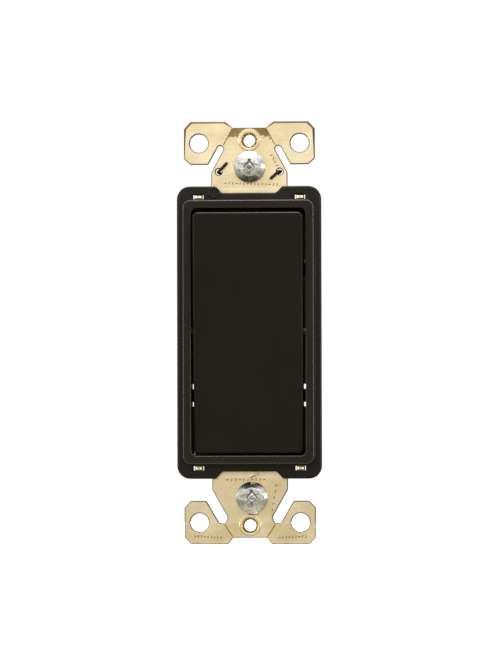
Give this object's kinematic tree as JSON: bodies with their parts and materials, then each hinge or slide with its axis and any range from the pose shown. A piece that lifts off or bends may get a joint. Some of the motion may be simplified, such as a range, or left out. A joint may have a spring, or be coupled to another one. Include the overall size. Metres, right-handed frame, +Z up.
{
  "type": "decorator rocker wall switch",
  "caption": "Black decorator rocker switch in a moulded frame on a plated steel mounting strap with plaster ears and captive screws.",
  "frame": {"origin": "centre of the mounting strap's rear face, in the wall plane", "axes": "+X right as seen from the room, +Y into the wall, +Z up, so the front faces -Y"},
  "size_m": [0.0362, 0.0345, 0.1064],
  "materials": {
    "plated_strap": "yellow zinc-plated steel, bright",
    "black_frame": "moulded, fine satin texture",
    "black_paddle": "smooth semi-gloss",
    "black_housing": "moulded thermoplastic, matt",
    "zinc_screw": "clear zinc plating",
    "brass_terminal": "plain brass",
    "silver_contact": "silver alloy",
    "spring_steel": "drawn spring steel",
    "clip_wire": "dark bronzed spring wire",
    "green_screw": "green dyed zinc plating",
    "white_acetal": "natural acetal",
    "fibre_washer": "vulcanised fibre"
  },
  "bodies": {
    "switch_body": {"mounting_strap": "plated_strap", "front_frame": "black_frame", "rear_housing": "black_housing", "common_terminal": "brass_terminal", "switched_terminal": "brass_terminal", "fixed_contact": "silver_contact", "push_in_spring_common": "spring_steel", "push_in_spring_switched": "spring_steel", "screw_retainer_top": "fibre_washer", "screw_retainer_bottom": "fibre_washer", "ground_clip": "clip_wire"},
    "rocker": {"rocker_paddle": "black_paddle", "plunger_spring": "spring_steel"},
    "plunger": {"plunger": "white_acetal"},
    "contact_arm": {"contact_arm": "brass_terminal", "moving_contact": "silver_contact"},
    "box_screw_top": {"mounting_screw_top": "zinc_screw"},
    "box_screw_bottom": {"mounting_screw_bottom": "zinc_screw"},
    "side_screw_common": {"terminal_screw_common": "brass_terminal"},
    "side_screw_switched": {"terminal_screw_switched": "brass_terminal"},
    "ground_screw": {"ground_screw": "green_screw"}
  },
  "joints": [
    {"name": "rocker_press", "type": "hinge", "parent": "switch_body", "child": "rocker", "pos_m": [0, -0.004, 0], "axis": [-1, 0, 0], "range_deg": [0, 10]},
    {"name": "plunger_travel", "type": "slide", "parent": "rocker", "child": "plunger", "axis": [0, 0.9962, 0.0872], "range_m": [-0.0008, 0], "stiffness_N_per_m": 400, "springref_m": 0.003, "deforming": ["plunger_spring"]},
    {"name": "contact_rock", "type": "hinge", "parent": "switch_body", "child": "contact_arm", "pos_m": [0, 0.0143, 0], "axis": [1, 0, 0], "range_deg": [0, 12]},
    {"name": "box_screw_top_turn", "type": "hinge", "parent": "switch_body", "child": "box_screw_top", "pos_m": [0.0001, 0, 0.04167], "axis": [0, 1, 0], "continuous": true},
    {"name": "box_screw_bottom_turn", "type": "hinge", "parent": "switch_body", "child": "box_screw_bottom", "pos_m": [0.00055, 0, -0.04142], "axis": [0, 1, 0], "continuous": true},
    {"name": "side_screw_common_turn", "type": "hinge", "parent": "switch_body", "child": "side_screw_common", "pos_m": [0.0146, 0.008, 0.0216], "axis": [1, 0, 0], "continuous": true},
    {"name": "side_screw_switched_turn", "type": "hinge", "parent": "switch_body", "child": "side_screw_switched", "pos_m": [0.0146, 0.008, 0], "axis": [1, 0, 0], "continuous": true},
    {"name": "ground_screw_turn", "type": "hinge", "parent": "switch_body", "child": "ground_screw", "pos_m": [-0.0151, 0.0062, -0.0282], "axis": [-1, 0, 0], "continuous": true}
  ],
  "couplings": [
    {"joint": "contact_rock", "follows": "rocker_press", "ratio": 1.2}
  ]
}
